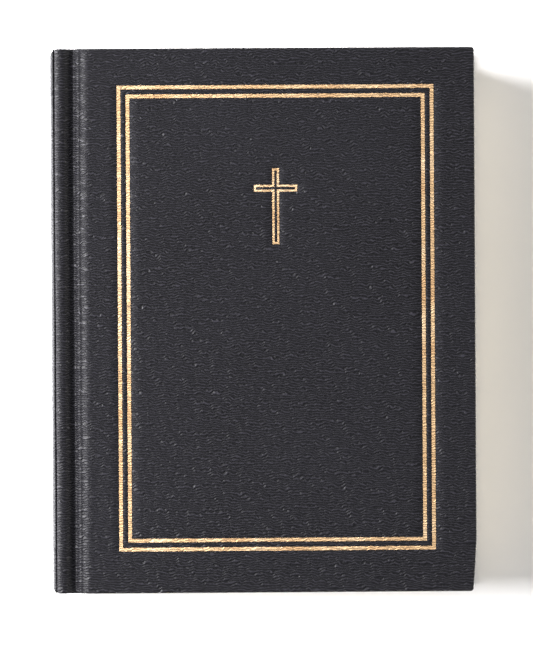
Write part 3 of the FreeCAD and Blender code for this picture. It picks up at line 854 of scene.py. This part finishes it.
def ragged_foil(name, box, off):
    """A thin plate over the cells that lie in the gold, with its edge drawn in by a little noise."""
    xs = lines_at(box[0].x, box[1].x, 0.5 * MM, gold_marks(0))
    ys = lines_at(box[0].y, box[1].y, 0.5 * MM, gold_marks(1))
    piece = plate(
        f"{name}_foil", xs, ys, lambda x, y: off(x, y) < 0,
        lambda x, y: TOP - lie(x, y) - FOIL_TOP, lambda x, y: TOP - lie(x, y) - SINK, foil_finish,
    )
    for vertex in piece.data.vertices:
        x, y, _ = vertex.co
        if off(x, y) > -PROBE / 2:
            slope = Vector((off(x + PROBE, y) - off(x - PROBE, y), off(x, y + PROBE) - off(x, y - PROBE)))
            share = 1 + 0.8 * noise.noise(Vector((x, y, 0)) / (0.8 * MM))
            vertex.co.xy -= slope.normalized() * RAGGED * share if slope.length else Vector((0, 0))
    settle(piece, "front_cover", "gold_foil", name)
    print(name, len(piece.data.vertices), "points")


ragged_foil("gold_outer_rule", OUTER, lambda x, y: off_frame(OUTER, RULE, x, y))
ragged_foil("gold_inner_rule", INNER, lambda x, y: off_frame(INNER, RULE, x, y))
ragged_foil("gold_cross", CROSS, off_cross)

# %% [markdown]
# ## Endpapers and gauze
#
# A folded endpaper holds the book in its case: one half is pasted down inside the cover, over the gauze
# and the turned-in leather, and steps up where it crosses their edges.  The other half is the flyleaf.
# It could be a flat card, but those soft steps are what tells a real cover from a model, so the sheet's
# height follows what lies under it.  Each sheet crosses the joint.

# %% Pastedowns and gauze
SHEET = 0.2 * MM
GAUZE_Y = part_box("front_mull_flap")[1].y
GAUZE_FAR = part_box("front_mull_flap")[1].x
PAGE_Y = page_high.y
PAGE_FORE = page_high.x
SOFT = 0.9 * MM


def under_paper(x, y):
    """Depth, from the cover's face, of what the endpaper is pasted on."""
    board = TOP - board_low.z
    over_gauze = 1 - max(float(smooth_step(GAUZE_FAR, GAUZE_FAR + SOFT, x)),
                         float(smooth_step(GAUZE_Y, GAUZE_Y + SOFT, abs(y))))
    over_leather = max(float(smooth_step(WINDOW_X - SOFT, WINDOW_X, x)),
                       float(smooth_step(WINDOW_Y - SOFT / 2, WINDOW_Y + SOFT / 2, abs(y))))
    return board + max(SHEET * over_gauze, LEATHER * over_leather)


def mirrored(piece):
    """Turns a piece made for the front over to the back."""
    for vertex in piece.data.vertices:
        vertex.co.z = TOP - vertex.co.z
    piece.data.flip_normals()
    return piece


def pastedown(side):
    block_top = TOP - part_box("section_01")[1].z
    xs = lines_at(HINGE - SHEET, PAGE_FORE, 4 * MM, [
        HINGE, *np.arange(HINGE, BOARD_EDGE + MM, 0.6 * MM), *np.linspace(GAUZE_FAR, GAUZE_FAR + SOFT, 5),
        *np.linspace(WINDOW_X - SOFT, WINDOW_X, 5),
    ])
    steps = np.linspace(WINDOW_Y - SOFT, WINDOW_Y + SOFT, 9)
    ys = lines_at(-PAGE_Y, PAGE_Y, 5 * MM, [*steps, *-steps])
    piece = plate(
        f"{side}_endpaper_sheet", xs, ys, lambda x, y: True,
        lambda x, y: TOP - under_paper(x, y),
        lambda x, y: TOP - (block_top if x < HINGE - SHEET / 2 else under_paper(x, y) + SHEET),
        endpaper_finish, smooth=True,
    )
    return piece if side == "front" else mirrored(piece)


def gauze(side):
    xs = lines_at(HINGE, GAUZE_FAR, 5 * MM, np.arange(HINGE, BOARD_EDGE + MM, 0.6 * MM))
    ys = lines_at(-GAUZE_Y, GAUZE_Y, 10 * MM)
    depth = TOP - board_low.z
    piece = plate(
        f"{side}_gauze_flap", xs, ys, lambda x, y: True, lambda x, y: TOP - depth,
        lambda x, y: TOP - depth - 0.95 * SHEET, gauze_finish,
    )
    return piece if side == "front" else mirrored(piece)


for side in ("front", "back"):
    cover = f"{side}_cover"
    bend(pastedown(side), side, cover, "endpaper", f"{side}_pastedown", f"{side}_endpaper_joint")
    bend(gauze(side), side, cover, "gauze", f"{side}_mull_flap", f"{side}_mull_joint")
print("paper steps, mm:", round(under_paper(0, 0) / MM, 2), round(under_paper(0, PAGE_Y) / MM, 2))

# %% [markdown]
# ## Flyleaves and loose leaves
#
# Between each cover and the sewn sections lie loose leaves.  A leaf could be one flat face, but it has
# to bend near the spine, so its grid is fine there and coarse beyond.

# %% Loose leaves
LEAF_BEND_END = HINGE + 13 * MM


def lay_flat(piece):
    """Keeps each point's place on the flat page, so the print stays with the paper as it bends."""
    flat = piece.data.attributes.new("flat_place", "FLOAT_VECTOR", "POINT")
    flat.data.foreach_set("vector", [part for vertex in piece.data.vertices for part in vertex.co])


def leaf(name):
    low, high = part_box(name)
    xs = lines_at(low.x, high.x, 8 * MM, np.arange(low.x, LEAF_BEND_END + MM, 0.7 * MM))
    ys = lines_at(low.y, high.y, 12 * MM)
    printed = "flyleaf" not in name
    piece = plate(
        f"{name}_paper", xs, ys, lambda x, y: True, lambda x, y: high.z, lambda x, y: low.z,
        print_finish if printed else endpaper_finish,
    )
    lay_flat(piece)
    return piece


leaf_names = sorted(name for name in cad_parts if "leaf" in name)
for name in leaf_names:
    side = name.split("_")[0]
    slot = "endpaper" if "flyleaf" in name else "thin_paper"
    bend(leaf(name), side, f"{name}_sheet", slot, name, start_x=HINGE, end_x=LEAF_BEND_END)
print("leaves:", len(leaf_names))

# %% [markdown]
# ## Sewn sections
#
# Each section is sixteen folded sheets, thirty-two leaves, sewn through its fold.  All five hundred
# leaves could be modelled, but at 0.05 mm each they are finer than the eye sees here.  So a section is
# a stack of six thin slabs, each cut a few hundredths of a millimetre differently, which is what shows
# on a trimmed edge.  The ends follow the rounded spine and the hollow fore-edge.

# %% Sections as thin slabs
SLABS = 6
chance = np.random.default_rng(17)
section_names = sorted(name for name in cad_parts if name.startswith("section_"))
BLOCK_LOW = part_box(section_names[-1])[0].z
BLOCK_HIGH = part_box(section_names[0])[1].z
FOLD_RADIUS = ARC_X - min(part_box(name)[0].x for name in section_names)


def hollow(z):
    """How far the fore-edge is hollowed at that height, along the curve of the spine."""
    reach = (BLOCK_HIGH - BLOCK_LOW) / 2
    return math.sqrt(FOLD_RADIUS**2 - (z - MIDDLE) ** 2) - math.sqrt(FOLD_RADIUS**2 - reach**2)


def section_stack(name):
    """Slabs between the section's rounded fold and its fore-edge, in one mesh."""
    low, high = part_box(name)
    nose = (high.z - low.z) / 2
    middle = (low.z + high.z) / 2
    nose_x = ARC_X - math.sqrt((FOLD_RADIUS - nose) ** 2 - (middle - MIDDLE) ** 2)
    points, faces = [], []
    trimmed = chance.uniform(0.0, 0.1, 3) * MM
    for slab in range(SLABS):
        ends = [low.z + (high.z - low.z) * (slab + k) / SLABS for k in (0, 1)]
        centre = sum(ends) / 2
        cut = trimmed + chance.uniform(0.0, 0.07, 3) * MM
        near = nose_x - math.sqrt(max(nose**2 - (centre - middle) ** 2, 0))
        first = len(points)
        for z in ends:
            far = PAGE_FORE - hollow(z) - cut[0]
            tail, head = low.y + cut[1], high.y - cut[2]
            points += [(near, tail, z), (far, tail, z), (far, head, z), (near, head, z)]
        faces += [(3, 2, 1, 0), (4, 5, 6, 7)]
        faces += [(a, (a + 1) % 4, (a + 1) % 4 + 4, a + 4) for a in range(4)]
        faces[-6:] = [tuple(first + at for at in face) for face in faces[-6:]]
    return points, faces


for name in section_names:
    points, faces = section_stack(name)
    piece = add_piece(f"{name}_pages", points, faces, page_finish, smooth=False)
    lay_flat(piece)
    piece.data.materials.append(print_finish)
    for face in piece.data.polygons:
        face.material_index = int(abs(face.normal.z) > 0.5)
    settle(piece, "book_block", "thin_paper", name)
print("sections:", len(section_names), "of", SLABS, "slabs, radius", round(FOLD_RADIUS / MM, 2))

# %% [markdown]
# ## Head and tail bands
#
# A band of silk hides the glued folds at each end of the spine.  Such bands are bought by the metre:
# thread wound tightly round a core, on a strip of cloth.  A plain tube would do for the core, but the
# winding is what one sees, so the tube swells at every turn of thread, and a strip of cloth carries it.

# %% Silk bands
BEAD = 0.9 * MM
WINDING = 0.9 * MM
PER_WINDING = 6
AROUND = 14
CLOTH_WIDTH = 10 * MM
CLOTH_THICK = 0.2 * MM
CLOTH_STEPS = 20


def tube_faces(first, steps, around):
    """Faces of a closed tube of rings, from its first point on."""
    faces = []
    for step in range(steps):
        for k in range(around):
            a = first + step * around + k
            b = first + step * around + (k + 1) % around
            faces.append((a, b, b + around, a + around))
    last = first + steps * around
    return faces + [tuple(range(first, first + around))[::-1], tuple(range(last, last + around))]


def round_spine(radius, angle, y):
    """A place at a radius and an angle about the spine's centre."""
    return ARC_X - radius * math.cos(angle), y, MIDDLE + radius * math.sin(angle)


def silk_band(name):
    low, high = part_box(name)
    way = 1 if high.y > 0 else -1
    ring = ARC_X - low.x - BEAD
    half = math.asin((BLOCK_HIGH - MIDDLE - BEAD) / ring)
    turns = round(2 * half * ring / WINDING)
    steps = PER_WINDING * turns
    points = []
    for step in range(steps + 1):
        angle = half * (2 * step / steps - 1)
        swell = BEAD * (0.9 + 0.1 * abs(math.sin(math.pi * step / PER_WINDING)))
        if step in (0, steps):
            swell *= 0.6
        for k in range(AROUND):
            turn = 2 * math.pi * k / AROUND
            y = way * (PAGE_Y + BEAD) + swell * math.sin(turn)
            points.append(round_spine(ring + swell * math.cos(turn), angle, y))
    first = len(points)
    inner, outer = ring + BEAD - CLOTH_THICK, ring + BEAD
    near, far = PAGE_Y + BEAD, PAGE_Y - CLOTH_WIDTH
    for step in range(CLOTH_STEPS + 1):
        angle = half * (2 * step / CLOTH_STEPS - 1)
        for radius, y in ((outer, near), (outer, far), (inner, far), (inner, near)):
            points.append(round_spine(radius, angle, way * y))
    faces = tube_faces(0, steps, AROUND) + tube_faces(first, CLOTH_STEPS, 4)
    piece = add_piece(f"{name}_silk", points, faces, silk_finish)
    settle(piece, "book_block", "band", name)
    print(name, turns, "turns of thread")


silk_band("head_band")
silk_band("tail_band")

# %% [markdown]
# ## What keeps its CAD shape
#
# The back board, the spine's paper lining, its gauze and the sewing thread are stiff or hidden, and their
# CAD shapes are right as they are.  They only get their finishes.

# %% Finishes for the CAD shapes
kept = {
    "back_board": board_finish, "spine_lining": kraft_finish,
    "spine_mull": gauze_finish, "sewing_thread": thread_finish,
}
for name, finish in kept.items():
    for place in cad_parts[name].material_slots:
        place.material = finish
print("kept from the CAD:", ", ".join(kept))

# %% [markdown]
# ## Floor, light and camera
#
# A pale floor, a broad light from the left, which lights every slope that faces the spine and leaves the
# fore-edge side of the cover darker, a weak fill from the right, and a surround like a light tent's.  The
# camera looks almost straight down from well above, so that the cover keeps its true shape.

# %% Floor, light and camera
FLOOR_HALF = 9.0
LIT = (0, 0, 0.03)
SENSOR = 36.0


def pale_floor():
    material, tree, place = start_finish("pale_paper_sweep")
    cloud = node(tree, "TexNoise", {"Vector": place, "Scale": 1 / (80 * MM), "Detail": 2.0})
    shade = node(tree, "ValToRGB", {0: cloud}, [(0.3, "F7F7F7"), (0.7, "FAFAFA")])
    end_finish(material, shade, 0.9, cloud, 0.01 * MM)
    half = FLOOR_HALF
    corners = [(-half, -half, 0), (half, -half, 0), (half, half, 0), (-half, half, 0)]
    add_piece("floor", corners, [(0, 1, 2, 3)], material)


def soft_light(name, place, size, power, colour):
    """A rectangular lamp of that size in metres and power in watts, turned to the book."""
    light = bpy.data.lights.new(name, "AREA")
    light.shape = "RECTANGLE"
    light.size, light.size_y = size
    light.energy = power
    light.color = linear(colour)[:3]
    lamp = bpy.data.objects.new(name, light)
    lamp.location = place
    lamp.rotation_euler = (Vector(LIT) - Vector(place)).to_track_quat("-Z", "Y").to_euler()
    bpy.context.scene.collection.objects.link(lamp)


def studio():
    scene = bpy.context.scene
    scene.view_settings.view_transform = "Standard"
    world = bpy.data.worlds.new("studio")
    world.use_nodes = True
    background = world.node_tree.nodes["Background"]
    # Bright round the horizon and dim overhead, as inside a light tent: the floor stays pale as far as
    # one sees, and little of it is mirrored in the flat of the cover.
    toward = node(world.node_tree, "TexCoord").outputs["Generated"]
    up = node(world.node_tree, "SeparateXYZ", {0: toward}).outputs["Z"]
    glow = node(world.node_tree, "ValToRGB", {0: up}, [(0.15, "FFFFFF"), (0.6, "4C4D50")])
    world.node_tree.links.new(glow.outputs["Color"], background.inputs["Color"])
    background.inputs["Strength"].default_value = 1.75
    scene.world = world
    soft_light("key_left", (-0.66, 0.12, 0.41), (0.5, 0.85), 45.0, "FEFDFF")
    soft_light("fill_right", (1.2, 0.0, 0.24), (1.0, 0.3), 12.0, "FFFAF4")


def camera(place, look_at, roll, tall):
    """Above the cover; tall is the height of what it takes in at the cover's face."""
    height = place[2] - TOP
    lens = bpy.data.cameras.new("camera")
    lens.sensor_fit = "VERTICAL"
    lens.sensor_height = SENSOR
    lens.lens = SENSOR * height / tall
    lens.clip_end = 20.0
    eye = bpy.data.objects.new("camera", lens)
    eye.location = place
    tilt_x = math.atan2(look_at[1] - place[1], height)
    tilt_y = math.atan2(place[0] - look_at[0], height)
    eye.rotation_euler = (tilt_x, tilt_y, roll)
    bpy.context.scene.collection.objects.link(eye)
    bpy.context.scene.camera = eye


pale_floor()
studio()
camera(
    place=(-20 * MM, 12 * MM, 1.43), look_at=(1.0 * MM, -0.6 * MM), roll=math.radians(-0.35),
    tall=213.0 * MM,
)
print("camera lens, mm:", round(bpy.context.scene.camera.data.lens, 1))
